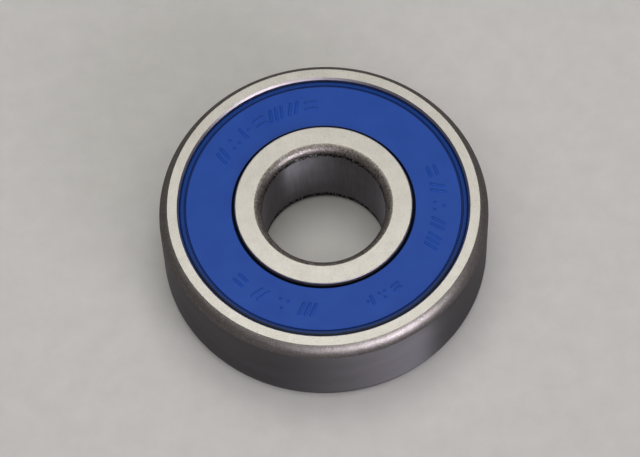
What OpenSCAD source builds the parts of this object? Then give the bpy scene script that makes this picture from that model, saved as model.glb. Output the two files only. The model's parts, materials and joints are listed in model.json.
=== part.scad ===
// Single-row deep groove ball bearing with a rubber seal on each side, built the
// way it is assembled: an outer and an inner ring, the balls between them, a
// riveted cage pressed from sheet steel in two halves, and two rubber seals, each
// moulded on a steel washer. Millimetres. The bore runs along Z, and the origin is
// in the middle of the bore.

/* [Boundary dimensions] */
// Outside diameter of the outer ring
outer_d = 32; // [31.5:0.1:36]
// Bore diameter of the inner ring
bore_d = 12; // [10:0.1:12.4]
// Width of both rings
width = 10; // [9.9:0.1:12]
// How far the rounded corners of the outer ring reach in across its faces
outer_corner_reach = 0.84; // [0.3:0.02:0.9]
// How far those corners reach down its outside
outer_corner_depth = 1.4; // [0.9:0.05:2]
// How far the rounded corners of the bore reach out across the inner ring's faces
bore_corner_reach = 0.74; // [0.3:0.02:0.9]
// How far those corners reach into the bore
bore_corner_depth = 0.92; // [0.9:0.02:2]

/* [Balls and raceways] */
// Ball diameter
ball_d = 5.953; // [5.9:0.001:6]
// Number of balls, which is also the number of cage rivets
ball_count = 7; // [5:1:7]
// Diameter of the circle through the ball centres
pitch_d = 22; // [21.9:0.05:22.1]
// Groove radius of each raceway, as a fraction of the ball diameter
groove_ratio = 0.52; // [0.51:0.005:0.53]
// Gap between a ball and the bottom of each raceway
race_gap = 0.02; // [0.01:0.005:0.04]

/* [Rings] */
// Diameter of the inner ring's shoulders, beside its raceway
inner_shoulder_d = 18.4; // [18.3:0.1:18.8]
// Outside diameter of the inner ring at its two faces
inner_face_d = 17.26; // [17.1:0.02:17.5]
// Corner radius at the rim of the inner ring's faces
inner_face_corner = 0.15; // [0.05:0.05:0.25]
// Diameter at the bottom of the grooves that the seal lips run in
lip_groove_d = 16.44; // [16.2:0.02:16.6]
// Diameter of the outer ring's shoulders, beside its raceway
outer_shoulder_d = 25.7; // [25.5:0.1:26]
// Diameter of the outer ring's recess where it opens into the face
recess_d = 28.44; // [28.2:0.02:28.8]
// Diameter of the rim that keeps each seal in
rim_d = 28.1; // [28:0.02:28.2]
// Diameter at the bottom of the snap groove under that rim
snap_d = 28.9; // [28.6:0.05:29.2]

/* [Depths below the ring faces] */
// Bottom of the bevel at the mouth of the outer ring's recess
rim_high_depth = 0.2; // [0.1:0.05:0.5]
// Top of the snap groove, at the rim
rim_low_depth = 0.65; // [0.6:0.05:0.8]
// Top of the snap groove, at its bottom diameter
snap_high_depth = 0.9; // [0.85:0.05:1]
// End of the snap groove's straight wall
snap_low_depth = 1.3; // [1.2:0.05:1.5]
// Shoulders of the outer ring, where each seal sits down
outer_shoulder_depth = 1.65; // [1.6:0.05:1.8]
// End of the straight rim of the inner ring's faces
inner_face_depth = 0.55; // [0.4:0.05:0.6]
// Top of the lip groove, at its bottom diameter
lip_groove_high_depth = 0.7; // [0.65:0.05:0.8]
// End of the lip groove's straight wall
lip_groove_low_depth = 1.45; // [1.35:0.05:1.6]
// Shoulders of the inner ring
inner_shoulder_depth = 1.75; // [1.65:0.05:1.9]

/* [Seals] */
// Depth of a seal's face below the faces of the rings
seal_depth = 0.38; // [0.34:0.02:0.42]
// Outside diameter of a seal's face
seal_face_d = 27.88; // [27.7:0.02:27.96]
// How much lower the face's outer edge is than its middle
seal_rim_drop = 0.06; // [0.02:0.02:0.1]
// Bevel at the face's outer edge
seal_edge = 0.12; // [0.04:0.02:0.14]
// Inside diameter of a seal's face
seal_hole_d = 17.72; // [17.6:0.02:18]
// Corner radius at the face's inner edge
seal_hole_round = 0.2; // [0.05:0.05:0.25]
// Diameter of the ring groove in a seal's face
seal_line_d = 26.9; // [26.6:0.1:27.1]
// Width of that groove, which is half round
seal_line_w = 0.24; // [0.1:0.02:0.3]
// Bevel on the bead that fills the snap groove
bead_edge = 0.06; // [0.02:0.02:0.1]
// Running clearance between a seal's lip and the inner ring
lip_gap = 0.04; // [0.02:0.01:0.08]
// Diameter where the lip meets the underside of a seal
lip_root_d = 18.2; // [18:0.1:19]
// Depth of the lip's edge nearer the face
lip_high_depth = 0.9; // [0.85:0.05:1]
// Depth of the lip's edge further from the face
lip_low_depth = 1.15; // [1.1:0.05:1.25]

/* [Washers inside the seals] */
// Sheet thickness of a washer
washer_t = 0.3; // [0.2:0.05:0.35]
// Depth of a washer's inner side
washer_depth = 1.3; // [1.25:0.05:1.35]
// Outside diameter of a washer
washer_d = 26.6; // [26.2:0.1:27]
// Inside diameter of a washer
washer_hole_d = 19.8; // [19.4:0.1:20.6]
// Height of the flange at a washer's outer edge
washer_flange = 0.25; // [0.1:0.05:0.3]

/* [Cage] */
// Sheet thickness of the cage
cage_t = 0.4; // [0.3:0.05:0.4]
// Radial width of the cage
cage_w = 2.6; // [2.2:0.1:3]
// Clearance between a ball and its pocket
pocket_gap = 0.08; // [0.05:0.01:0.1]
// Shank diameter of a rivet
rivet_d = 0.9; // [0.7:0.1:1]
// Head diameter of a rivet
rivet_head_d = 1.7; // [1.5:0.1:1.9]
// Height of a rivet's head
rivet_head_h = 0.3; // [0.2:0.05:0.4]
// Clearance between a rivet's shank and its hole
rivet_gap = 0.02; // [0.01:0.01:0.05]

/* [Hidden] */
$fn = 120;

// Rings: radii of the boundary and the raceways
outer_r = outer_d / 2;
bore_r = bore_d / 2;
half_w = width / 2;
ball_r = ball_d / 2;
pitch_r = pitch_d / 2;
groove_r = groove_ratio * ball_d;
// How far a groove's centre lies from the ball centres' circle
groove_offset = groove_r - ball_r - race_gap;

// Outer ring: the space that holds a seal, from the shoulder up to the face
recess_r = recess_d / 2;
rim_r = rim_d / 2;
snap_r = snap_d / 2;
outer_shoulder_r = outer_shoulder_d / 2;
outer_shoulder_z = half_w - outer_shoulder_depth;
snap_low_z = half_w - snap_low_depth;
snap_high_z = half_w - snap_high_depth;
rim_low_z = half_w - rim_low_depth;
rim_high_z = half_w - rim_high_depth;

// Inner ring: the groove for a seal's lip, from the shoulder up to the face
inner_shoulder_r = inner_shoulder_d / 2;
inner_shoulder_z = half_w - inner_shoulder_depth;
inner_face_r = inner_face_d / 2;
inner_face_low_z = half_w - inner_face_depth;
lip_groove_r = lip_groove_d / 2;
lip_groove_low_z = half_w - lip_groove_low_depth;
lip_groove_high_z = half_w - lip_groove_high_depth;

// Seals: the face, its outer edge and the lip
seal_top_z = half_w - seal_depth;
seal_rim_z = seal_top_z - seal_rim_drop;
seal_face_r = seal_face_d / 2;
seal_hole_r = seal_hole_d / 2;
seal_line_r = seal_line_d / 2;
lip_r = lip_groove_r + lip_gap;
lip_root_r = lip_root_d / 2;
lip_low_z = half_w - lip_low_depth;
lip_high_z = half_w - lip_high_depth;
lip_top_z = half_w - lip_groove_high_depth;

// Washers: the flat part and the flange, which the rubber covers by half
washer_r = washer_d / 2;
washer_hole_r = washer_hole_d / 2;
washer_low_z = half_w - washer_depth;
flange_middle_r = washer_r - washer_t / 2;

// Cage: the two shells of a pocket, and the cage's edges
pocket_r = ball_r + pocket_gap;
pocket_shell_r = pocket_r + cage_t;
cage_in_r = pitch_r - cage_w / 2;
cage_out_r = pitch_r + cage_w / 2;
ball_step = 360 / ball_count;

// The outline of a ring that is the same above and below the middle. The points
// run over the upper half, from the ring's hole outwards.
function both_halves(upper) = concat(
    upper,
    [for (i = [len(upper) - 1:-1:0]) [upper[i][0], -upper[i][1]]]
);

// What comes off an outline to round its corner at p. The corner points towards
// side, such as [1, 1] for out and up. The curve starts at depth along the upright
// edge, in line with it, and ends at reach along the level edge.
module corner_off(p, reach, depth, side) {
    r = (reach * reach + depth * depth) / (2 * reach);
    translate([p[0] - side[0] * r, p[1] - side[1] * depth])
        difference() {
            translate([side[0] < 0 ? -2 * r : 0, side[1] < 0 ? -2 * r : 0]) square(2 * r);
            circle(r);
        }
}

// Puts its children at the place of ball i, or part of a step further round
module at_ball(i, part = 0) {
    rotate([0, 0, (i - 1 + part) * ball_step]) translate([pitch_r, 0, 0]) children();
}

// A round wall about the bore, standing on z = 0
module tube(in_r, out_r, height) {
    rotate_extrude() translate([in_r, 0]) square([out_r - in_r, height]);
}

module outer_ring() {
    color("silver")
        rotate_extrude()
            difference() {
                polygon(both_halves([
                    [outer_shoulder_r, outer_shoulder_z],
                    [rim_r, outer_shoulder_z],
                    [snap_r, snap_low_z],
                    [snap_r, snap_high_z],
                    [rim_r, rim_low_z],
                    [rim_r, rim_high_z],
                    [recess_r, half_w],
                    [outer_r, half_w]
                ]));
                for (s = [-1, 1]) corner_off([outer_r, s * half_w], outer_corner_reach, outer_corner_depth, [1, s]);
                translate([pitch_r - groove_offset, 0]) circle(groove_r);
            }
}

module inner_ring() {
    color("silver")
        rotate_extrude()
            difference() {
                polygon(both_halves([
                    [bore_r, half_w],
                    [inner_face_r, half_w],
                    [inner_face_r, inner_face_low_z],
                    [lip_groove_r, lip_groove_high_z],
                    [lip_groove_r, lip_groove_low_z],
                    [inner_shoulder_r, inner_shoulder_z]
                ]));
                for (s = [-1, 1]) {
                    corner_off([bore_r, s * half_w], bore_corner_reach, bore_corner_depth, [-1, s]);
                    corner_off([inner_face_r, s * half_w], inner_face_corner, inner_face_corner, [1, s]);
                }
                translate([pitch_r + groove_offset, 0]) circle(groove_r);
            }
}

module ball(i) {
    color("gainsboro") at_ball(i) sphere(ball_r);
}

// Half of the cage: a flat ribbon that rises over each ball as a round pocket
module cage_half() {
    difference() {
        intersection() {
            union() {
                tube(cage_in_r, cage_out_r, cage_t);
                for (i = [1:ball_count]) at_ball(i) sphere(pocket_shell_r);
            }
            tube(cage_in_r, cage_out_r, pocket_shell_r);
        }
        for (i = [1:ball_count]) {
            at_ball(i) sphere(pocket_r);
            at_ball(i, 0.5) cylinder(r = rivet_d / 2 + rivet_gap, h = 4 * cage_t, center = true);
        }
    }
}

module cage_upper() {
    color("darkgray") cage_half();
}

module cage_lower() {
    color("darkgray") mirror([0, 0, 1]) cage_half();
}

// The domed head of a rivet, standing on z = 0
module rivet_head() {
    dome_r = (pow(rivet_head_d / 2, 2) + pow(rivet_head_h, 2)) / (2 * rivet_head_h);
    intersection() {
        translate([0, 0, rivet_head_h - dome_r]) sphere(dome_r);
        cylinder(r = rivet_head_d, h = 2 * rivet_head_h);
    }
}

// A rivet halfway between ball i and the next, with a head on each side
module rivet(i) {
    color("gray")
        at_ball(i, 0.5) {
            cylinder(r = rivet_d / 2, h = 2 * cage_t, center = true);
            translate([0, 0, cage_t]) rivet_head();
            mirror([0, 0, 1]) translate([0, 0, cage_t]) rivet_head();
        }
}

// Section of the steel washer, with the short flange at its outer edge
module washer_section() {
    difference() {
        union() {
            translate([washer_hole_r, washer_low_z]) square([washer_r - washer_hole_r, washer_t]);
            translate([washer_r - washer_t, washer_low_z - washer_flange])
                square([washer_t, washer_flange + washer_t]);
        }
        corner_off([washer_r, washer_low_z + washer_t], washer_t, washer_t, [1, 1]);
    }
}

// Section of the rubber: the bead in the snap groove, the face, and the lip
module seal_section() {
    difference() {
        polygon([
            [flange_middle_r, outer_shoulder_z],
            [rim_r, outer_shoulder_z],
            [snap_r - bead_edge, snap_low_z],
            [snap_r, snap_low_z + bead_edge],
            [snap_r, snap_high_z - bead_edge],
            [snap_r - bead_edge, snap_high_z],
            [seal_face_r, rim_low_z],
            [seal_face_r, seal_rim_z - seal_edge],
            [seal_face_r - seal_edge, seal_rim_z],
            [seal_line_r, seal_top_z],
            [seal_hole_r, seal_top_z],
            [seal_hole_r, lip_top_z],
            [lip_r, lip_high_z],
            [lip_r, lip_low_z],
            [lip_root_r, washer_low_z],
            [flange_middle_r, washer_low_z]
        ]);
        translate([seal_line_r, seal_top_z]) circle(d = seal_line_w);
        corner_off([seal_hole_r, seal_top_z], seal_hole_round, seal_hole_round, [-1, 1]);
        washer_section();
    }
}

module upper_seal() {
    color("royalblue") rotate_extrude() seal_section();
}

module lower_seal() {
    color("royalblue") mirror([0, 0, 1]) rotate_extrude() seal_section();
}

module upper_seal_washer() {
    color("dimgray") rotate_extrude() washer_section();
}

module lower_seal_washer() {
    color("dimgray") mirror([0, 0, 1]) rotate_extrude() washer_section();
}

outer_ring();
inner_ring();
for (i = [1:ball_count]) ball(i);
cage_upper();
cage_lower();
for (i = [1:ball_count]) rivet(i);
upper_seal();
lower_seal();
upper_seal_washer();
lower_seal_washer();
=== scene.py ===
import json
import math

import bpy
from mathutils import Matrix, Vector
from mathutils.geometry import delaunay_2d_cdt


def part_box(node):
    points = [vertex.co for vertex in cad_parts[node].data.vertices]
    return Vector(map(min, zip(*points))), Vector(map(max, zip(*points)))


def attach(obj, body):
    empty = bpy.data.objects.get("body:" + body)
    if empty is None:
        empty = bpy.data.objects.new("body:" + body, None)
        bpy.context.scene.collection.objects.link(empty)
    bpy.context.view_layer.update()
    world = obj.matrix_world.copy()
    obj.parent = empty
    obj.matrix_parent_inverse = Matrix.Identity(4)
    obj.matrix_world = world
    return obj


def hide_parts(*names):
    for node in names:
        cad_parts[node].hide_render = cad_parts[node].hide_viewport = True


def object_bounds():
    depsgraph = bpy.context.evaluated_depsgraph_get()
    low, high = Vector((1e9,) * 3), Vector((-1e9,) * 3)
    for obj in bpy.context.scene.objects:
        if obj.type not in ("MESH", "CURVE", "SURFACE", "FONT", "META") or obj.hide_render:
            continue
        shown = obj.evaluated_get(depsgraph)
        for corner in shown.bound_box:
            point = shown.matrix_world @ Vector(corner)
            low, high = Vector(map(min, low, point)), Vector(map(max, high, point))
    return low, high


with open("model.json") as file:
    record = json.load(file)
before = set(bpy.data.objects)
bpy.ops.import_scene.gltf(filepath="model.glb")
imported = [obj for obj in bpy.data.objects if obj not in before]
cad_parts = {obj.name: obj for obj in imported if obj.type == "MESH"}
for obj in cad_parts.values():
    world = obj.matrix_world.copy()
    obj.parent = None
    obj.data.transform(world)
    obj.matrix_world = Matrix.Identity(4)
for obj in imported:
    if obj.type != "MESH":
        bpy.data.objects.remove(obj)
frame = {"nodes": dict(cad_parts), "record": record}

CAD_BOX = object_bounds()

# ----------------------------------------------------------------------------
# Sizes, in millimetres. Outlines are drawn in millimetres and written to the
# meshes in metres. The driving sizes come from the frame.
# ----------------------------------------------------------------------------
MM = 0.001
MOUNTS = {mount["name"]: mount for mount in frame["record"]["mounts"]}
BORE_R = MOUNTS["bore"]["dims"]["r_mm"]
OUTER_R = MOUNTS["outside_diameter"]["dims"]["r_mm"]
HALF_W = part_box("outer_ring")[1].z / MM
BORE_CORNER_REACH = 0.74
BORE_CORNER_DEPTH = HALF_W - MOUNTS["bore"]["dims"]["length_mm"] / 2
OUTER_CORNER_REACH = 0.84
OUTER_CORNER_DEPTH = HALF_W - MOUNTS["outside_diameter"]["dims"]["length_mm"] / 2
BALL_LOW, BALL_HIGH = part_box("ball_1")
BALL_R = (BALL_HIGH.z - BALL_LOW.z) / 2 / MM
PITCH_R = (BALL_HIGH.x + BALL_LOW.x) / 2 / MM
GROOVE_TO_BALL = 1.04
GROOVE_R = GROOVE_TO_BALL * BALL_R
RACE_GAP = 0.02
GROOVE_OFFSET = GROOVE_R - BALL_R - RACE_GAP

OUTER_SHOULDER_R = 12.85
OUTER_SHOULDER_Z = HALF_W - 1.65
RECESS_R = 14.22
RIM_R = 14.05
RIM_HIGH_Z = HALF_W - 0.2
RIM_LOW_Z = HALF_W - 0.65
SNAP_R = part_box("upper_seal")[1].x / MM
SNAP_HIGH_Z = HALF_W - 0.9
SNAP_LOW_Z = HALF_W - 1.3

INNER_SHOULDER_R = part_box("inner_ring")[1].x / MM
INNER_SHOULDER_Z = HALF_W - 1.75
INNER_FACE_R = 8.63
INNER_FACE_ROUND = 0.12
INNER_FACE_LOW_Z = HALF_W - 0.55
LIP_GROOVE_R = 8.22
LIP_GROOVE_HIGH_Z = HALF_W - 0.7
LIP_GROOVE_LOW_Z = HALF_W - 1.45

SEAL_TOP_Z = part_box("upper_seal")[1].z / MM
SEAL_FACE_R = 13.94
SEAL_HOLE_R = 8.86
SEAL_LINE_R = 13.45
LINE_HALF_W = 0.12
LINE_FLOOR_HALF_W = 0.45 * LINE_HALF_W
LINE_DEPTH = 1.1 * LINE_HALF_W
LINE_OUTER_DROP = 0.01
SEAL_RIM_DROP = 0.06
WASHER_LOW_Z = HALF_W - 1.3
WASHER_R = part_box("upper_seal_washer")[1].x / MM
WASHER_T = 0.3
WASHER_HOLE_R = 9.9
WASHER_FLANGE_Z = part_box("upper_seal_washer")[0].z / MM
LIP_GAP = 0.04
LIP_R = LIP_GROOVE_R + LIP_GAP
LIP_LOW_Z = HALF_W - 1.15
LIP_HIGH_Z = HALF_W - 0.9
LIP_ROOT_Z = HALF_W - 0.7
LIP_ROOT_R = 9.1

# Radii of the small roundings at edges
FINE = 0.03
SMALL = 0.04
SOFT = 0.05

# Steps round the axis, and the longest stretch of an outline
RING_STEPS = 360
SEAL_STEPS = 720
RING_STRETCH = 0.6
SEAL_STRETCH = 0.5

# ----------------------------------------------------------------------------
# Outlines
# ----------------------------------------------------------------------------
def fillet(before, corner, after, radius, step_deg=11.0, guard_share=0.35):
    """The points that round one corner, with a guard point on each side so that flat
    faces shade flat."""
    p = Vector(corner)
    u = (Vector(before) - p).normalized()
    v = (Vector(after) - p).normalized()
    half = math.acos(max(-1.0, min(1.0, u.dot(v)))) / 2
    reach = radius / math.tan(half)
    centre = p + (u + v).normalized() * (radius / math.sin(half))
    start = p + u * reach - centre
    end = p + v * reach - centre
    turn = math.pi - 2 * half
    if start.cross(end) < 0:
        turn = -turn
    steps = max(2, math.ceil(abs(math.degrees(turn)) / step_deg))
    guard = guard_share * radius
    points = []
    if (Vector(before) - p).length > 2 * (reach + guard):
        points.append(p + u * (reach + guard))
    for k in range(steps + 1):
        a = turn * k / steps
        points.append(centre + Vector((start.x * math.cos(a) - start.y * math.sin(a),
                                       start.x * math.sin(a) + start.y * math.cos(a))))
    if (Vector(after) - p).length > 2 * (reach + guard):
        points.append(p + v * (reach + guard))
    return points


def rounded(corners, is_open=False):
    """An outline through corners (r, z, fillet radius) with every corner rounded."""
    n = len(corners)
    points = []
    for i, (r, z, radius) in enumerate(corners):
        at_end = is_open and i in (0, n - 1)
        if radius <= 0 or at_end:
            points.append(Vector((r, z)))
            continue
        before = corners[i - 1][:2]
        after = corners[(i + 1) % n][:2]
        points.extend(fillet(before, (r, z), after, radius))
    return points


def split_long(points, longest, is_open=False):
    """The outline with no stretch longer than longest."""
    out = []
    n = len(points)
    for i, p in enumerate(points):
        out.append(p)
        if is_open and i == n - 1:
            break
        q = points[(i + 1) % n]
        pieces = math.ceil((q - p).length / longest)
        out.extend(p.lerp(q, k / pieces) for k in range(1, pieces))
    return out


def groove_arc(centre_r, shoulder_r, steps=40):
    """The raceway groove, from its upper edge at the shoulder down to its lower edge."""
    edge = math.acos(abs(shoulder_r - centre_r) / GROOVE_R)
    side = 1 if shoulder_r > centre_r else -1
    arc = []
    for k in range(steps + 1):
        a = edge - 2 * edge * k / steps
        arc.append((centre_r + side * GROOVE_R * math.cos(a), GROOVE_R * math.sin(a), 0))
    return arc


def mirrored(upper):
    """Corners of the upper half followed by the same corners below the middle, in reverse order."""
    return upper + [(r, -z, radius) for r, z, radius in reversed(upper)]


def corner_arc(edge_r, side, reach, depth, steps=9):
    """A rounded corner, from the upright wall at edge_r, where it starts in line, to its
    edge on the face. side is 1 for the outside and -1 for the bore."""
    radius = (reach ** 2 + depth ** 2) / (2 * reach)
    full = math.asin(depth / radius)
    arc = []
    for k in range(steps + 1):
        a = full * k / steps
        r = edge_r - side * radius * (1 - math.cos(a))
        arc.append((r, HALF_W - depth + radius * math.sin(a), SMALL if k == steps else 0))
    return arc


def outer_ring_outline():
    """The outer ring's closed outline: shoulder, seal recess and rounded corner, above and below."""
    upper = [
        (OUTER_SHOULDER_R, OUTER_SHOULDER_Z, SOFT),
        (RIM_R, OUTER_SHOULDER_Z, FINE),
        (SNAP_R, SNAP_LOW_Z, SMALL),
        (SNAP_R, SNAP_HIGH_Z, SMALL),
        (RIM_R, RIM_LOW_Z, SMALL),
        (RIM_R, RIM_HIGH_Z, FINE),
        (RECESS_R, HALF_W, FINE),
    ]
    upper += corner_arc(OUTER_R, 1, OUTER_CORNER_REACH, OUTER_CORNER_DEPTH)[::-1]
    arc = groove_arc(PITCH_R - GROOVE_OFFSET, OUTER_SHOULDER_R)
    return split_long(rounded(mirrored(upper) + arc[::-1]), RING_STRETCH)


def inner_ring_outline():
    """The inner ring's closed outline: rounded bore corner, face and lip groove, above and below."""
    upper = corner_arc(BORE_R, -1, BORE_CORNER_REACH, BORE_CORNER_DEPTH) + [
        (INNER_FACE_R, HALF_W, INNER_FACE_ROUND),
        (INNER_FACE_R, INNER_FACE_LOW_Z, SMALL),
        (LIP_GROOVE_R, LIP_GROOVE_HIGH_Z, SMALL),
        (LIP_GROOVE_R, LIP_GROOVE_LOW_Z, SMALL),
        (INNER_SHOULDER_R, INNER_SHOULDER_Z, SOFT),
    ]
    arc = groove_arc(PITCH_R + GROOVE_OFFSET, INNER_SHOULDER_R)
    lower = [(r, -z, radius) for r, z, radius in reversed(upper)]
    return split_long(rounded(upper + arc + lower), RING_STRETCH)


# ----------------------------------------------------------------------------
# Meshes
# ----------------------------------------------------------------------------
def make_piece(name, vertices, faces, materials, pick=None):
    """A smooth-shaded object from vertices in millimetres. pick gives a material's place
    in materials for the radius and height of a face's middle."""
    mesh = bpy.data.meshes.new(name)
    mesh.from_pydata([(x * MM, y * MM, z * MM) for x, y, z in vertices], [], faces)
    mesh.validate()
    for material in materials:
        mesh.materials.append(material)
    for polygon in mesh.polygons:
        polygon.use_smooth = True
        if pick:
            middle = polygon.center / MM
            polygon.material_index = pick(math.hypot(middle.x, middle.y), middle.z)
    mesh.update()
    piece = bpy.data.objects.new(name, mesh)
    bpy.context.scene.collection.objects.link(piece)
    return piece


def revolve(outline, steps, is_open=False):
    """Vertices and quads of an outline turned about Z, facing outwards for a clockwise outline."""
    n = len(outline)
    vertices = []
    for k in range(steps):
        a = 2 * math.pi * k / steps
        vertices.extend((p.x * math.cos(a), p.x * math.sin(a), p.y) for p in outline)
    faces = []
    for k in range(steps):
        here = k * n
        there = (k + 1) % steps * n
        for i in range(n - 1 if is_open else n):
            j = (i + 1) % n
            faces.append((here + i, here + j, there + j, there + i))
    return vertices, faces


def signed_area(outline):
    """Above zero for an outline that runs anticlockwise."""
    return sum(p.x * q.y - q.x * p.y for p, q in zip(outline, outline[1:] + outline[:1])) / 2


def outwards(outline):
    """The outline run so that revolve() faces its quads out of the solid."""
    return outline if signed_area(outline) < 0 else outline[::-1]


# ----------------------------------------------------------------------------
# Rings
# ----------------------------------------------------------------------------
# The place of each steel in ring_steels, and how far a zone reaches past its edge
FACE_STEEL = 0
OUTSIDE_STEEL = 1
CORNER_STEEL = 2
RECESS_STEEL = 3
BORE_STEEL = 4
BORE_CORNER_STEEL = 5
ZONE_EDGE = 0.01


def ring_zone(r, z, face_in, face_out):
    """The place in ring_steels of a ring's material at radius r and height z."""
    if abs(z) > HALF_W - ZONE_EDGE and face_in < r < face_out:
        return FACE_STEEL
    if r > OUTER_R - ZONE_EDGE:
        return OUTSIDE_STEEL
    if r < BORE_R + ZONE_EDGE:
        return BORE_STEEL
    if r > OUTER_R - OUTER_CORNER_REACH and abs(z) > HALF_W - OUTER_CORNER_DEPTH:
        return CORNER_STEEL
    if r < BORE_R + BORE_CORNER_REACH and abs(z) > HALF_W - BORE_CORNER_DEPTH:
        return BORE_CORNER_STEEL
    return RECESS_STEEL


def make_outer_ring(materials):
    """The outer ring, in place of its CAD node."""
    vertices, faces = revolve(outwards(outer_ring_outline()), RING_STEPS)
    face_out = OUTER_R - OUTER_CORNER_REACH
    piece = make_piece("outer_ring_body", vertices, faces, materials,
                       lambda r, z: ring_zone(r, z, RECESS_R, face_out))
    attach(piece, "outer_ring")
    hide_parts("outer_ring")


def make_inner_ring(materials):
    """The inner ring, in place of its CAD node."""
    vertices, faces = revolve(outwards(inner_ring_outline()), RING_STEPS)
    face_in = BORE_R + BORE_CORNER_REACH
    piece = make_piece("inner_ring_body", vertices, faces, materials,
                       lambda r, z: ring_zone(r, z, face_in, INNER_FACE_R))
    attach(piece, "inner_ring")
    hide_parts("inner_ring")


# ----------------------------------------------------------------------------
# Seals
# ----------------------------------------------------------------------------
# The flat, marked part of a seal's face
PATCH_IN_R = 9.35
PATCH_OUT_R = 13.0
SEAL_HOLE_ROUND = 0.12
SEAL_EDGE_ROUND = 0.1
LINE_ROUND = 0.02
LIP_ROUND = 0.08

# Strokes of one moulded mark, in millimetres along and across the seal. A stroke
# that starts and ends at one point is a round pip.
SLANTED_PAIR = [((-0.55, -0.6), (-0.1, 0.6)), ((0.1, -0.6), (0.55, 0.6))]
SLANTED_THREE = [
    ((-0.75, -0.6), (-0.4, 0.6)),
    ((-0.17, -0.6), (0.17, 0.6)),
    ((0.4, -0.6), (0.75, 0.6)),
]
BAR_AND_PIP = [((-0.35, -0.6), (-0.35, 0.6)), ((0.3, 0.0), (0.3, 0.0))]
TWO_DASHES = [((-0.5, 0.35), (0.5, 0.35)), ((-0.5, -0.35), (0.5, -0.35))]
THREE_PIPS = [
    ((-0.4, -0.45), (-0.4, -0.45)),
    ((0.4, -0.45), (0.4, -0.45)),
    ((0.0, 0.45), (0.0, 0.45)),
]
# The marks of the longest row, in order
LONG_ROW = [
    SLANTED_PAIR, THREE_PIPS, BAR_AND_PIP, TWO_DASHES, SLANTED_THREE, SLANTED_PAIR, TWO_DASHES,
]
# Where each row of marks starts and ends, in degrees round the seal, the size
# of its marks, and the marks in order
MARK_ROWS = [
    (148, 94, 1.0, LONG_ROW),
    (17, -23, 1.0, [TWO_DASHES, SLANTED_PAIR, THREE_PIPS, SLANTED_PAIR, SLANTED_THREE]),
    (-100, -137, 1.0, [SLANTED_THREE, THREE_PIPS, SLANTED_PAIR, TWO_DASHES]),
    (-54, -69, 0.7, [TWO_DASHES, THREE_PIPS, BAR_AND_PIP]),
]
MARK_ROW_R = 11.26
SAME_POINT = 1e-6
STROKE_HALF_W = 0.10
STROKE_HEIGHT = 0.10
# Outlines of a stroke: how far each stands outside the stroke's edge, and its
# share of the stroke's height
STROKE_LEVELS = [(0.09, 0.0), (0.04, 0.0), (0.0, 0.8), (-0.04, 1.0)]


def capsule(start, end, radius, steps=7):
    """Points round a stroke with half-round ends."""
    along = (end - start).normalized() if (end - start).length > 0 else Vector((1, 0))
    across = Vector((-along.y, along.x))
    points = []
    for centre, side in ((end, 1), (start, -1)):
        for k in range(steps + 1):
            a = math.pi * (k / steps - 0.5)
            points.append(centre + side * radius * (along * math.cos(a) + across * math.sin(a)))
    return points


def mark_strokes():
    """Every stroke's two ends on the seal, with the size of its mark."""
    strokes = []
    for first_deg, last_deg, size, marks in MARK_ROWS:
        for k, mark in enumerate(marks):
            a = math.radians(first_deg + (last_deg - first_deg) * k / (len(marks) - 1))
            outward = Vector((math.cos(a), math.sin(a)))
            clockwise = Vector((math.sin(a), -math.cos(a)))
            middle = outward * MARK_ROW_R
            for ends in mark:
                strokes.append([middle + size * (clockwise * u + outward * v) for u, v in ends])
    return strokes


def seal_outline():
    """From the outer edge of the marked face round the bead, the underside and the lip to
    its inner edge."""
    corners = [
        (PATCH_OUT_R, SEAL_TOP_Z, 0),
        (SEAL_LINE_R - LINE_HALF_W, SEAL_TOP_Z, LINE_ROUND),
        (SEAL_LINE_R - LINE_FLOOR_HALF_W, SEAL_TOP_Z - LINE_DEPTH, LINE_ROUND),
        (SEAL_LINE_R + LINE_FLOOR_HALF_W, SEAL_TOP_Z - LINE_DEPTH, LINE_ROUND),
        (SEAL_LINE_R + LINE_HALF_W, SEAL_TOP_Z - LINE_OUTER_DROP, LINE_ROUND),
        (SEAL_FACE_R, SEAL_TOP_Z - SEAL_RIM_DROP, SEAL_EDGE_ROUND),
        (SEAL_FACE_R, RIM_LOW_Z, FINE),
        (SNAP_R, SNAP_HIGH_Z, SOFT),
        (SNAP_R, SNAP_LOW_Z, SOFT),
        (RIM_R, OUTER_SHOULDER_Z, FINE),
        (WASHER_R - WASHER_T / 2, OUTER_SHOULDER_Z, FINE),
        (WASHER_R - WASHER_T / 2, WASHER_FLANGE_Z, 0),
        (WASHER_R, WASHER_FLANGE_Z, 0),
        (WASHER_R, WASHER_LOW_Z + WASHER_T, WASHER_T),
        (WASHER_HOLE_R, WASHER_LOW_Z + WASHER_T, 0),
        (WASHER_HOLE_R, WASHER_LOW_Z, 0),
        (LIP_ROOT_R, WASHER_LOW_Z, SOFT),
        (LIP_R, LIP_LOW_Z, SOFT),
        (LIP_R, LIP_HIGH_Z, LIP_ROUND),
        (SEAL_HOLE_R, LIP_ROOT_Z, SOFT),
        (SEAL_HOLE_R, SEAL_TOP_Z, SEAL_HOLE_ROUND),
        (PATCH_IN_R, SEAL_TOP_Z, 0),
    ]
    return split_long(rounded(corners, is_open=True), SEAL_STRETCH, is_open=True)


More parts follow.
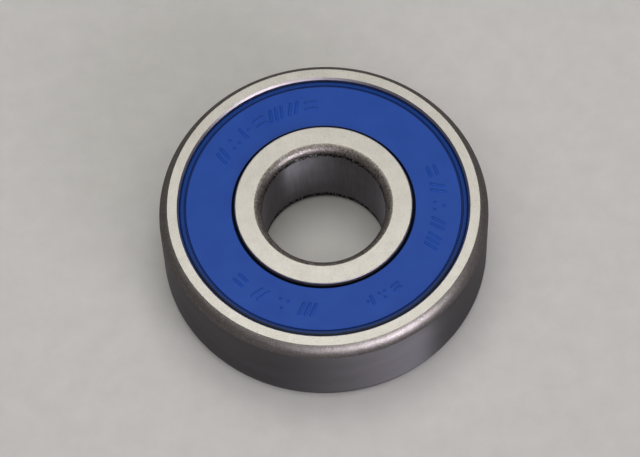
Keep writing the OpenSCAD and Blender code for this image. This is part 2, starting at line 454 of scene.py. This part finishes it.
def marked_face(outline_size):
    """The flat face with its raised marks: new vertices, and faces that share the revolved
    part's two edges. outline_size is the number of points in the revolved outline."""
    points = []
    heights = []
    edges = []
    for radius in (PATCH_OUT_R, PATCH_IN_R):
        first = len(points)
        for k in range(SEAL_STEPS):
            a = 2 * math.pi * k / SEAL_STEPS
            points.append(Vector((radius * math.cos(a), radius * math.sin(a))))
            heights.append(0.0)
            edges.append((first + k, first + (k + 1) % SEAL_STEPS))
    for start, end in mark_strokes():
        for outset, share in STROKE_LEVELS:
            first = len(points)
            loop = capsule(start, end, STROKE_HALF_W + outset)
            points.extend(loop)
            heights.extend([share * STROKE_HEIGHT] * len(loop))
            edges.extend((first + k, first + (k + 1) % len(loop)) for k in range(len(loop)))
    found, _, triangles, origins, _, _ = delaunay_2d_cdt(points, edges, [], 0, SAME_POINT)
    shared = {}
    for k in range(SEAL_STEPS):
        shared[k] = k * outline_size
        shared[SEAL_STEPS + k] = k * outline_size + outline_size - 1
    first_new = SEAL_STEPS * outline_size
    vertices = []
    index = []
    for i, point in enumerate(found):
        source = origins[i][0]
        if source in shared:
            index.append(shared[source])
        else:
            index.append(first_new + len(vertices))
            vertices.append((point.x, point.y, SEAL_TOP_Z + heights[source]))
    faces = []
    for a, b, c in triangles:
        middle = (found[a] + found[b] + found[c]) / 3
        if middle.length < PATCH_IN_R:
            continue
        turn = (found[b] - found[a]).cross(found[c] - found[a])
        faces.append((index[a], index[b], index[c]) if turn > 0 else (index[a], index[c], index[b]))
    return vertices, faces


def make_seal(name, node, materials, upper):
    """A seal, in place of its CAD node. The lower one is the upper one turned over."""
    outline = seal_outline()
    vertices, faces = revolve(outline, SEAL_STEPS, is_open=True)
    new_vertices, new_faces = marked_face(len(outline))
    vertices += new_vertices
    faces += new_faces
    if not upper:
        vertices = [(x, -y, -z) for x, y, z in vertices]
    piece = make_piece(name, vertices, faces, materials)
    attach(piece, "outer_ring")
    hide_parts(node)


# ----------------------------------------------------------------------------
# Materials
# ----------------------------------------------------------------------------
class Tree:
    """A short way to write a node tree. A value is either a node's output or a constant."""

    def __init__(self, tree):
        self.tree = tree

    def add(self, kind, **settings):
        node = self.tree.nodes.new(kind)
        for key, value in settings.items():
            setattr(node, key, value)
        return node

    def wire(self, value, socket):
        if isinstance(value, bpy.types.NodeSocket):
            self.tree.links.new(value, socket)
        else:
            socket.default_value = value

    def math(self, operation, a, b=0.0):
        node = self.add("ShaderNodeMath", operation=operation)
        self.wire(a, node.inputs[0])
        self.wire(b, node.inputs[1])
        return node.outputs[0]

    def vector_math(self, operation, a, b=None, scale=None):
        node = self.add("ShaderNodeVectorMath", operation=operation)
        self.wire(a, node.inputs[0])
        if b is not None:
            self.wire(b, node.inputs[1])
        if scale is not None:
            self.wire(scale, node.inputs["Scale"])
        return node.outputs["Value" if operation in ("LENGTH", "DOT_PRODUCT") else "Vector"]

    def noise(self, vector, scale, detail=3.0, roughness=0.55):
        node = self.add("ShaderNodeTexNoise")
        self.wire(vector, node.inputs["Vector"])
        self.wire(scale, node.inputs["Scale"])
        self.wire(detail, node.inputs["Detail"])
        self.wire(roughness, node.inputs["Roughness"])
        return node.outputs["Fac"]

    def ramp(self, factor, *stops):
        """A colour ramp with stops (place, colour or grey level)."""
        node = self.add("ShaderNodeValToRGB")
        ramp = node.color_ramp
        while len(ramp.elements) < len(stops):
            ramp.elements.new(0.5)
        for element, (place, colour) in zip(ramp.elements, stops):
            element.position = place
            grey = not hasattr(colour, "__len__")
            element.color = (colour, colour, colour, 1) if grey else (*colour, 1)
        self.wire(factor, node.inputs["Fac"])
        return node.outputs["Color"]

    def blend(self, factor, a, b, blend_type="MIX"):
        node = self.add("ShaderNodeMix", data_type="RGBA", blend_type=blend_type)
        self.wire(factor, node.inputs["Factor"])
        for value, socket in ((a, node.inputs["A"]), (b, node.inputs["B"])):
            if isinstance(value, tuple):
                value = (*value, 1)
            self.wire(value, socket)
        return node.outputs["Result"]

    def spread(self, factor, low, high):
        """A number from low to high as the factor goes from 0 to 1."""
        node = self.add("ShaderNodeMapRange")
        self.wire(factor, node.inputs["Value"])
        node.inputs["To Min"].default_value = low
        node.inputs["To Max"].default_value = high
        return node.outputs["Result"]

    def window(self, value, low, high, soft_low, soft_high):
        """1 between low and high, fading to 0 over the two soft widths outside them."""
        rise = self.rise(value, low - soft_low, low)
        fall = self.rise(value, high + soft_high, high)
        return self.math("MULTIPLY", rise, fall)

    def ramp_up(self, value, start, end):
        """From 0 at start to 1 at end in a straight line."""
        node = self.add("ShaderNodeMapRange")
        self.wire(value, node.inputs["Value"])
        node.inputs["From Min"].default_value = start
        node.inputs["From Max"].default_value = end
        return node.outputs["Result"]

    def rise(self, value, start, end):
        """From 0 at start to 1 at end, with a smooth curve between."""
        node = self.add("ShaderNodeMapRange", interpolation_type="SMOOTHSTEP")
        self.wire(value, node.inputs["Value"])
        node.inputs["From Min"].default_value = start
        node.inputs["From Max"].default_value = end
        return node.outputs["Result"]


class Nodes(Tree):
    """A material's node tree. Sizes in the patterns are in millimetres."""

    def __init__(self, name):
        self.material = bpy.data.materials.new(name)
        self.material.use_nodes = True
        super().__init__(self.material.node_tree)
        self.shader = self.tree.nodes["Principled BSDF"]
        place = self.add("ShaderNodeTexCoord")
        self.mm = self.vector_math("SCALE", place.outputs["Object"], scale=1 / MM)

    def stretched(self, x, y, z):
        """Millimetres times a factor along each axis."""
        return self.vector_math("MULTIPLY", self.mm, (x, y, z))

    def bump(self, height, depth_mm, onto=None):
        """A bump of that depth for a height from 0 to 1, on top of an earlier bump."""
        node = self.add("ShaderNodeBump")
        self.wire(height, node.inputs["Height"])
        node.inputs["Strength"].default_value = 1.0
        node.inputs["Distance"].default_value = depth_mm * MM
        if onto is not None:
            self.wire(onto, node.inputs["Normal"])
        return node.outputs["Normal"]

    def lay_round_axis(self, strength):
        """Grinding lines round Z: reflections stretch across them, up and down the surface."""
        tangent = self.add("ShaderNodeTangent", direction_type="RADIAL", axis="Z")
        self.wire(tangent.outputs["Tangent"], self.shader.inputs["Tangent"])
        self.wire(strength, self.shader.inputs["Anisotropic"])
        self.shader.inputs["Anisotropic Rotation"].default_value = 0.25

    def finish(self, colour, roughness, normal, metallic=0.0):
        self.wire(colour, self.shader.inputs["Base Color"])
        self.wire(roughness, self.shader.inputs["Roughness"])
        self.wire(normal, self.shader.inputs["Normal"])
        self.shader.inputs["Metallic"].default_value = metallic
        return self.material


# Heights from the middle of the bore at which the near-black at its ends starts and is complete
DARK_END_START_Z = 3.55
DARK_END_FULL_Z = 3.9
# Colour of the floor as the steel mirrors it
FLOOR_IN_STEEL = (0.11, 0.105, 0.112)


def ground_face_steel():
    """The ring faces: surface-ground, with straight fine lay, faint mottling and small pits."""
    n = Nodes("ground_face_steel")
    mottle = n.noise(n.mm, 0.9, 4.0, 0.6)
    grain = n.noise(n.mm, 7.0, 3.0, 0.6)
    lay = n.noise(n.stretched(12.0, 0.5, 1.0), 1.0, 3.0, 0.65)
    specks = n.rise(n.noise(n.mm, 9.0, 2.0, 0.5), 0.66, 0.70)
    colour = n.ramp(mottle, (0.3, (0.585, 0.575, 0.535)), (0.7, (0.665, 0.655, 0.62)))
    colour = n.blend(0.5, colour, n.ramp(grain, (0.3, 0.84), (0.65, 1.0)), "MULTIPLY")
    colour = n.blend(0.4, colour, n.ramp(lay, (0.35, 0.78), (0.6, 1.0)), "MULTIPLY")
    colour = n.blend(specks, colour, (0.20, 0.185, 0.165))
    roughness = n.spread(lay, 0.32, 0.5)
    normal = n.bump(lay, 0.005)
    normal = n.bump(grain, 0.003, normal)
    return n.finish(colour, roughness, normal, metallic=1.0)


def ground_outside_steel():
    """The outside: ground round the axis, so the lay runs along the circumference."""
    n = Nodes("ground_outside_steel")
    tone = n.noise(n.stretched(0.12, 0.12, 0.5), 1.0, 3.0)
    lay = n.noise(n.stretched(0.25, 0.25, 8.0), 1.0, 4.0, 0.65)
    colour = n.ramp(tone, (0.3, (0.45, 0.44, 0.455)), (0.7, (0.53, 0.52, 0.535)))
    roughness = n.spread(lay, 0.33, 0.39)
    normal = n.bump(lay, 0.004)
    n.lay_round_axis(n.spread(lay, 0.94, 1.0))
    return n.finish(colour, roughness, normal, metallic=1.0)


def ground_bore_steel():
    """The bore: ground like the outside, with lines along it, and near-black towards its two ends,
    with pale flecks there."""
    n = Nodes("ground_bore_steel")
    place = n.add("ShaderNodeSeparateXYZ")
    n.wire(n.mm, place.inputs[0])
    from_middle = n.math("ABSOLUTE", place.outputs["Z"])
    tone = n.noise(n.stretched(0.3, 0.3, 0.5), 1.0, 3.0)
    lay = n.noise(n.stretched(0.25, 0.25, 8.0), 1.0, 4.0, 0.65)
    lines = n.noise(n.stretched(5.0, 5.0, 0.3), 1.0, 2.0, 0.6)
    grit = n.noise(n.mm, 3.5, 4.0, 0.7)
    colour = n.ramp(tone, (0.3, (0.56, 0.55, 0.57)), (0.7, (0.66, 0.65, 0.67)))
    colour = n.blend(0.5, colour, n.ramp(lines, (0.35, 0.72), (0.6, 1.0)), "MULTIPLY")
    # Near-black towards both ends of the bore, with a ragged edge.
    reach = n.math("ADD", from_middle, n.spread(grit, -0.9, 0.9))
    dark_end = n.rise(reach, DARK_END_START_Z, DARK_END_FULL_Z)
    colour = n.blend(dark_end, colour, (0.03, 0.024, 0.02))
    fleck = n.math("MULTIPLY", dark_end, n.rise(n.noise(n.mm, 5.0, 2.0, 0.5), 0.57, 0.60))
    colour = n.blend(fleck, colour, (0.75, 0.74, 0.72))
    roughness = n.spread(lay, 0.33, 0.38)
    normal = n.bump(lay, 0.004)
    normal = n.bump(n.math("MULTIPLY", dark_end, grit), 0.02, normal)
    n.lay_round_axis(n.spread(lay, 0.94, 1.0))
    return n.finish(colour, roughness, normal, metallic=1.0)


def turned_corner_steel(name, dark, light, pitting):
    """The rounded corners: turned and tumbled, with a few painted glints, small near-white spots in
    the colour. pitting is how dark the pits are."""
    n = Nodes(name)
    patch = n.noise(n.mm, 1.3, 4.0, 0.65)
    grit = n.noise(n.mm, 6.0, 4.0, 0.7)
    pits = n.rise(n.noise(n.mm, 4.5, 3.0, 0.6), 0.55, 0.61)
    # Painted highlight: near-white spots in the colour that stand for glints.
    painted_glints = n.rise(n.noise(n.stretched(1.0, 1.0, -1.0), 6.0, 2.0, 0.5), 0.61, 0.65)
    colour = n.ramp(patch, (0.3, dark), (0.7, light))
    colour = n.blend(0.4, colour, n.ramp(grit, (0.35, 0.75), (0.6, 1.0)), "MULTIPLY")
    colour = n.blend(n.math("MULTIPLY", pits, pitting), colour, (0.17, 0.12, 0.085))
    colour = n.blend(painted_glints, colour, (0.90, 0.86, 0.87))
    roughness = n.spread(grit, 0.34, 0.48)
    normal = n.bump(grit, 0.016)
    return n.finish(colour, roughness, normal, metallic=1.0)


def turned_recess_steel():
    """The seal recesses and grooves: fine-turned, with a faint warm tint."""
    n = Nodes("turned_recess_steel")
    patch = n.noise(n.mm, 1.1, 3.0)
    lines = n.noise(n.stretched(0.4, 0.4, 10.0), 1.0, 2.0)
    colour = n.ramp(patch, (0.3, (0.58, 0.535, 0.53)), (0.7, (0.70, 0.65, 0.66)))
    roughness = n.spread(lines, 0.34, 0.5)
    normal = n.bump(lines, 0.004)
    return n.finish(colour, roughness, normal, metallic=1.0)


def blue_rubber():
    """The seals: moulded nitrile rubber, satin, with a fine mould texture. Painted shade makes it
    darker outside the moulded line and in the line's groove, near-black at the front of the outer
    edge, and black at the hole."""
    n = Nodes("blue_rubber")
    cloud = n.noise(n.mm, 0.35, 3.0)
    skin = n.noise(n.mm, 6.0, 4.0, 0.6)
    from_axis = n.vector_math("LENGTH", n.stretched(1.0, 1.0, 0.0))
    colour = n.ramp(cloud, (0.3, (0.009, 0.070, 0.415)), (0.7, (0.013, 0.082, 0.455)))
    # Painted shade: darker from the moulded line out to the outer edge, next to the ring's recess.
    rim_painted_shade = n.rise(from_axis, SEAL_LINE_R - 0.15, SEAL_LINE_R - 0.03)
    colour = n.blend(rim_painted_shade, colour, (0.004, 0.046, 0.26))
    # Painted shade for the gap by the ring: near-black at the outer edge, on the front half only,
    # with a ragged inner edge.
    edge = n.math("ADD", from_axis, n.spread(n.noise(n.mm, 1.2, 3.0), -0.08, 0.08))
    front = n.rise(n.vector_math("DOT_PRODUCT", n.mm, (0.0, -1.0, 0.0)), 1.0, 9.0)
    front_gap_painted_shade = n.math("MULTIPLY", n.rise(edge, SEAL_FACE_R - 0.28, SEAL_FACE_R - 0.18), front)
    colour = n.blend(front_gap_painted_shade, colour, (0.006, 0.012, 0.022))
    # Painted shade: near-black at the hole's edge, by the gap to the inner ring.
    hole_painted_shade = n.rise(from_axis, SEAL_HOLE_R + 0.12, SEAL_HOLE_R + 0.05)
    colour = n.blend(hole_painted_shade, colour, (0.002, 0.006, 0.02))
    # Painted shade in the groove of the moulded line.
    line = n.window(from_axis, SEAL_LINE_R - 0.06, SEAL_LINE_R + 0.06, 0.04, 0.04)
    colour = n.blend(line, colour, (0.001, 0.020, 0.13))
    roughness = n.spread(skin, 0.36, 0.5)
    normal = n.bump(skin, 0.006)
    n.shader.inputs["Specular IOR Level"].default_value = 0.25
    return n.finish(colour, roughness, normal)


def bearing_ball_steel():
    """The balls: lapped to a near mirror, with a trace of haze from the grease."""
    n = Nodes("bearing_ball_steel")
    haze = n.noise(n.mm, 1.5, 3.0)
    colour = n.ramp(haze, (0.3, (0.62, 0.62, 0.63)), (0.7, (0.70, 0.70, 0.71)))
    roughness = n.spread(haze, 0.04, 0.12)
    normal = n.bump(haze, 0.0004)
    return n.finish(colour, roughness, normal, metallic=1.0)


def pressed_sheet_steel(name, dark, light):
    """Pressed sheet: the cage, its rivets and the washers in the seals."""
    n = Nodes(name)
    patch = n.noise(n.mm, 1.2, 3.0)
    grain = n.noise(n.mm, 8.0, 3.0)
    colour = n.ramp(patch, (0.3, dark), (0.7, light))
    roughness = n.spread(grain, 0.32, 0.5)
    normal = n.bump(grain, 0.004)
    return n.finish(colour, roughness, normal, metallic=1.0)


def pale_floor():
    """A pale floor, which the steel mirrors as a dark one."""
    n = Nodes("pale_floor")
    grain = n.noise(n.mm, 0.4, 5.0, 0.6)
    pale = n.ramp(grain, (0.3, (0.70, 0.70, 0.69)), (0.7, (0.75, 0.75, 0.74)))
    mirrored_ray = n.add("ShaderNodeLightPath").outputs["Is Glossy Ray"]
    colour = n.blend(mirrored_ray, pale, FLOOR_IN_STEEL)
    return n.finish(colour, 0.9, n.bump(grain, 0.02))


# ----------------------------------------------------------------------------
# The object
# ----------------------------------------------------------------------------
def clothe(node, material):
    """Gives a CAD node's object one material in place of its own."""
    cad = frame["nodes"][node]
    cad.data.materials.clear()
    cad.data.materials.append(material)


ring_steels = [
    ground_face_steel(),
    ground_outside_steel(),
    turned_corner_steel("turned_corner_steel", (0.58, 0.535, 0.48), (0.72, 0.685, 0.645), 0.12),
    turned_recess_steel(),
    ground_bore_steel(),
    turned_corner_steel("pitted_corner_steel", (0.47, 0.43, 0.375), (0.63, 0.59, 0.55), 0.7),
]
make_outer_ring(ring_steels)
make_inner_ring(ring_steels)
rubber = [blue_rubber()]
make_seal("upper_seal_rubber", "upper_seal", rubber, upper=True)
make_seal("lower_seal_rubber", "lower_seal", rubber, upper=False)

ball_steel = bearing_ball_steel()
cage_steel = pressed_sheet_steel("cage_sheet_steel", (0.40, 0.39, 0.37), (0.52, 0.51, 0.49))
rivet_steel = pressed_sheet_steel("rivet_wire_steel", (0.36, 0.35, 0.34), (0.46, 0.45, 0.44))
washer_steel = pressed_sheet_steel("washer_sheet_steel", (0.30, 0.29, 0.29), (0.40, 0.39, 0.38))
NODE_STEELS = {"ball": ball_steel, "cage": cage_steel, "rivet": rivet_steel}
for node in frame["nodes"]:
    if node.endswith("_washer"):
        clothe(node, washer_steel)
    elif node.split("_")[0] in NODE_STEELS:
        clothe(node, NODE_STEELS[node.split("_")[0]])

# ----------------------------------------------------------------------------
# Floor, light and camera
# ----------------------------------------------------------------------------
FLOOR_HALF = 3.0
SOFTBOX_HEIGHT = 0.45
SOFTBOX_COLOUR = (1.0, 0.97, 0.90)
# Radiance of the room at some heights above the horizon, in degrees
ROOM_LEVELS = [(0.0, 0.045), (24.0, 0.07), (42.0, 0.20), (60.0, 0.28), (75.0, 0.28)]
ROOM_COLOUR = (1.0, 0.965, 0.955)
# The panel low on the right. It brightens from one end to the other, by azimuth,
# and lies between two elevations, all in degrees.
PANEL_COLOUR = (0.93, 0.88, 1.0)
PANEL_RADIANCE = 5.0
PANEL_DIM_END = -121.0
PANEL_BRIGHT_END = -37.0
PANEL_EDGE = 2.0
PANEL_FALLOFF = 1.6
PANEL_LOW = 12.0
PANEL_HIGH = 28.0
PANEL_FADE_BELOW = 5.0
PANEL_FADE_ABOVE = 10.0
BACKDROP = (0.60, 0.60, 0.60)

# The camera: degrees, metres, and the lens in millimetres. The aim is how far
# the middle of the picture stands from the bearing's centre.
CAMERA_AZIMUTH = -90.0
CAMERA_ELEVATION = 62.2
CAMERA_DISTANCE = 0.3
CAMERA_ROLL = -2.6
CAMERA_LENS = 171.8
AIM_RIGHT = -0.00044
AIM_UP = -0.00004


def direction(azimuth, elevation):
    """A unit vector: azimuth in degrees from +X towards +Y, elevation above the horizon."""
    a = math.radians(azimuth)
    e = math.radians(elevation)
    return Vector((math.cos(a) * math.cos(e), math.sin(a) * math.cos(e), math.sin(e)))


def make_floor():
    """A square floor at the bearing's lowest point."""
    corners = [(-1, -1), (1, -1), (1, 1), (-1, 1)]
    vertices = [(x * FLOOR_HALF, y * FLOOR_HALF, CAD_BOX[0].z) for x, y in corners]
    mesh = bpy.data.meshes.new("floor")
    mesh.from_pydata(vertices, [], [(0, 1, 2, 3)])
    mesh.materials.append(pale_floor())
    floor = bpy.data.objects.new("floor", mesh)
    bpy.context.scene.collection.objects.link(floor)


def softbox(name, low_corner, high_corner, radiance):
    """A rectangle of warm light facing down, between two corners (x, y) at the softboxes'
    height."""
    data = bpy.data.lights.new(name, "AREA")
    data.shape = "RECTANGLE"
    data.size = high_corner[0] - low_corner[0]
    data.size_y = high_corner[1] - low_corner[1]
    data.energy = radiance * math.pi * data.size * data.size_y
    data.color = SOFTBOX_COLOUR
    middle = (Vector(low_corner) + Vector(high_corner)) / 2
    light = bpy.data.objects.new(name, data)
    light.location = (*middle, SOFTBOX_HEIGHT)
    bpy.context.scene.collection.objects.link(light)
    return light


def studio_lights():
    """Two softboxes. The far one ends where the ring faces mirror the camera. The near one
    lights only mat surfaces, and no reflection shows it."""
    softbox("far_softbox", (-0.14, 0.04), (0.14, 0.234), 2.75)
    near = softbox("near_softbox", (-0.40, -0.30), (0.30, 0.04), 0.95)
    near.visible_glossy = False


def studio_world():
    """A dim room with a brighter panel low on the right; the camera sees a plain pale backdrop."""
    world = bpy.data.worlds.new("studio")
    world.use_nodes = True
    bpy.context.scene.world = world
    t = Tree(world.node_tree)
    ray = t.add("ShaderNodeTexCoord").outputs["Generated"]
    split = t.add("ShaderNodeSeparateXYZ")
    t.wire(ray, split.inputs[0])
    x, y, z = split.outputs
    azimuth = t.math("DEGREES", t.math("ARCTAN2", y, x))
    elevation = t.math("DEGREES", t.math("ARCSINE", z))
    stops = [(degrees / 90.0, grey) for degrees, grey in ROOM_LEVELS]
    level = t.ramp(t.ramp_up(elevation, 0.0, 90.0), *stops)
    room = t.vector_math("MULTIPLY", level, ROOM_COLOUR)
    brighten = t.math("POWER", t.ramp_up(azimuth, PANEL_DIM_END, PANEL_BRIGHT_END), PANEL_FALLOFF)
    bright_edge = t.rise(azimuth, PANEL_BRIGHT_END + PANEL_EDGE, PANEL_BRIGHT_END)
    sideways = t.math("MULTIPLY", brighten, bright_edge)
    upright = t.window(elevation, PANEL_LOW, PANEL_HIGH, PANEL_FADE_BELOW, PANEL_FADE_ABOVE)
    panel = t.math("MULTIPLY", t.math("MULTIPLY", sideways, upright), PANEL_RADIANCE)
    light = t.vector_math("ADD", room, t.vector_math("SCALE", PANEL_COLOUR, scale=panel))
    sky = world.node_tree.nodes["Background"]
    t.wire(light, sky.inputs["Color"])
    plain = t.add("ShaderNodeBackground")
    plain.inputs["Color"].default_value = (*BACKDROP, 1)
    mix = t.add("ShaderNodeMixShader")
    t.wire(t.add("ShaderNodeLightPath").outputs["Is Camera Ray"], mix.inputs["Fac"])
    t.wire(sky.outputs[0], mix.inputs[1])
    t.wire(plain.outputs[0], mix.inputs[2])
    t.wire(mix.outputs[0], world.node_tree.nodes["World Output"].inputs["Surface"])


def make_camera():
    """A long lens, well above the bearing and a little rolled."""
    back = direction(CAMERA_AZIMUTH, CAMERA_ELEVATION)
    roll = Matrix.Rotation(math.radians(CAMERA_ROLL), 4, "Z").to_quaternion()
    turn = back.to_track_quat("Z", "Y") @ roll
    data = bpy.data.cameras.new("camera")
    data.lens = CAMERA_LENS
    data.sensor_width = 36.0
    data.clip_start = 0.01
    data.clip_end = 20.0
    camera = bpy.data.objects.new("camera", data)
    camera.location = back * CAMERA_DISTANCE + turn @ Vector((AIM_RIGHT, AIM_UP, 0))
    camera.rotation_mode = "QUATERNION"
    camera.rotation_quaternion = turn
    bpy.context.scene.collection.objects.link(camera)
    bpy.context.scene.camera = camera


make_floor()
studio_world()
studio_lights()
make_camera()
bpy.context.scene.view_settings.view_transform = "Standard"
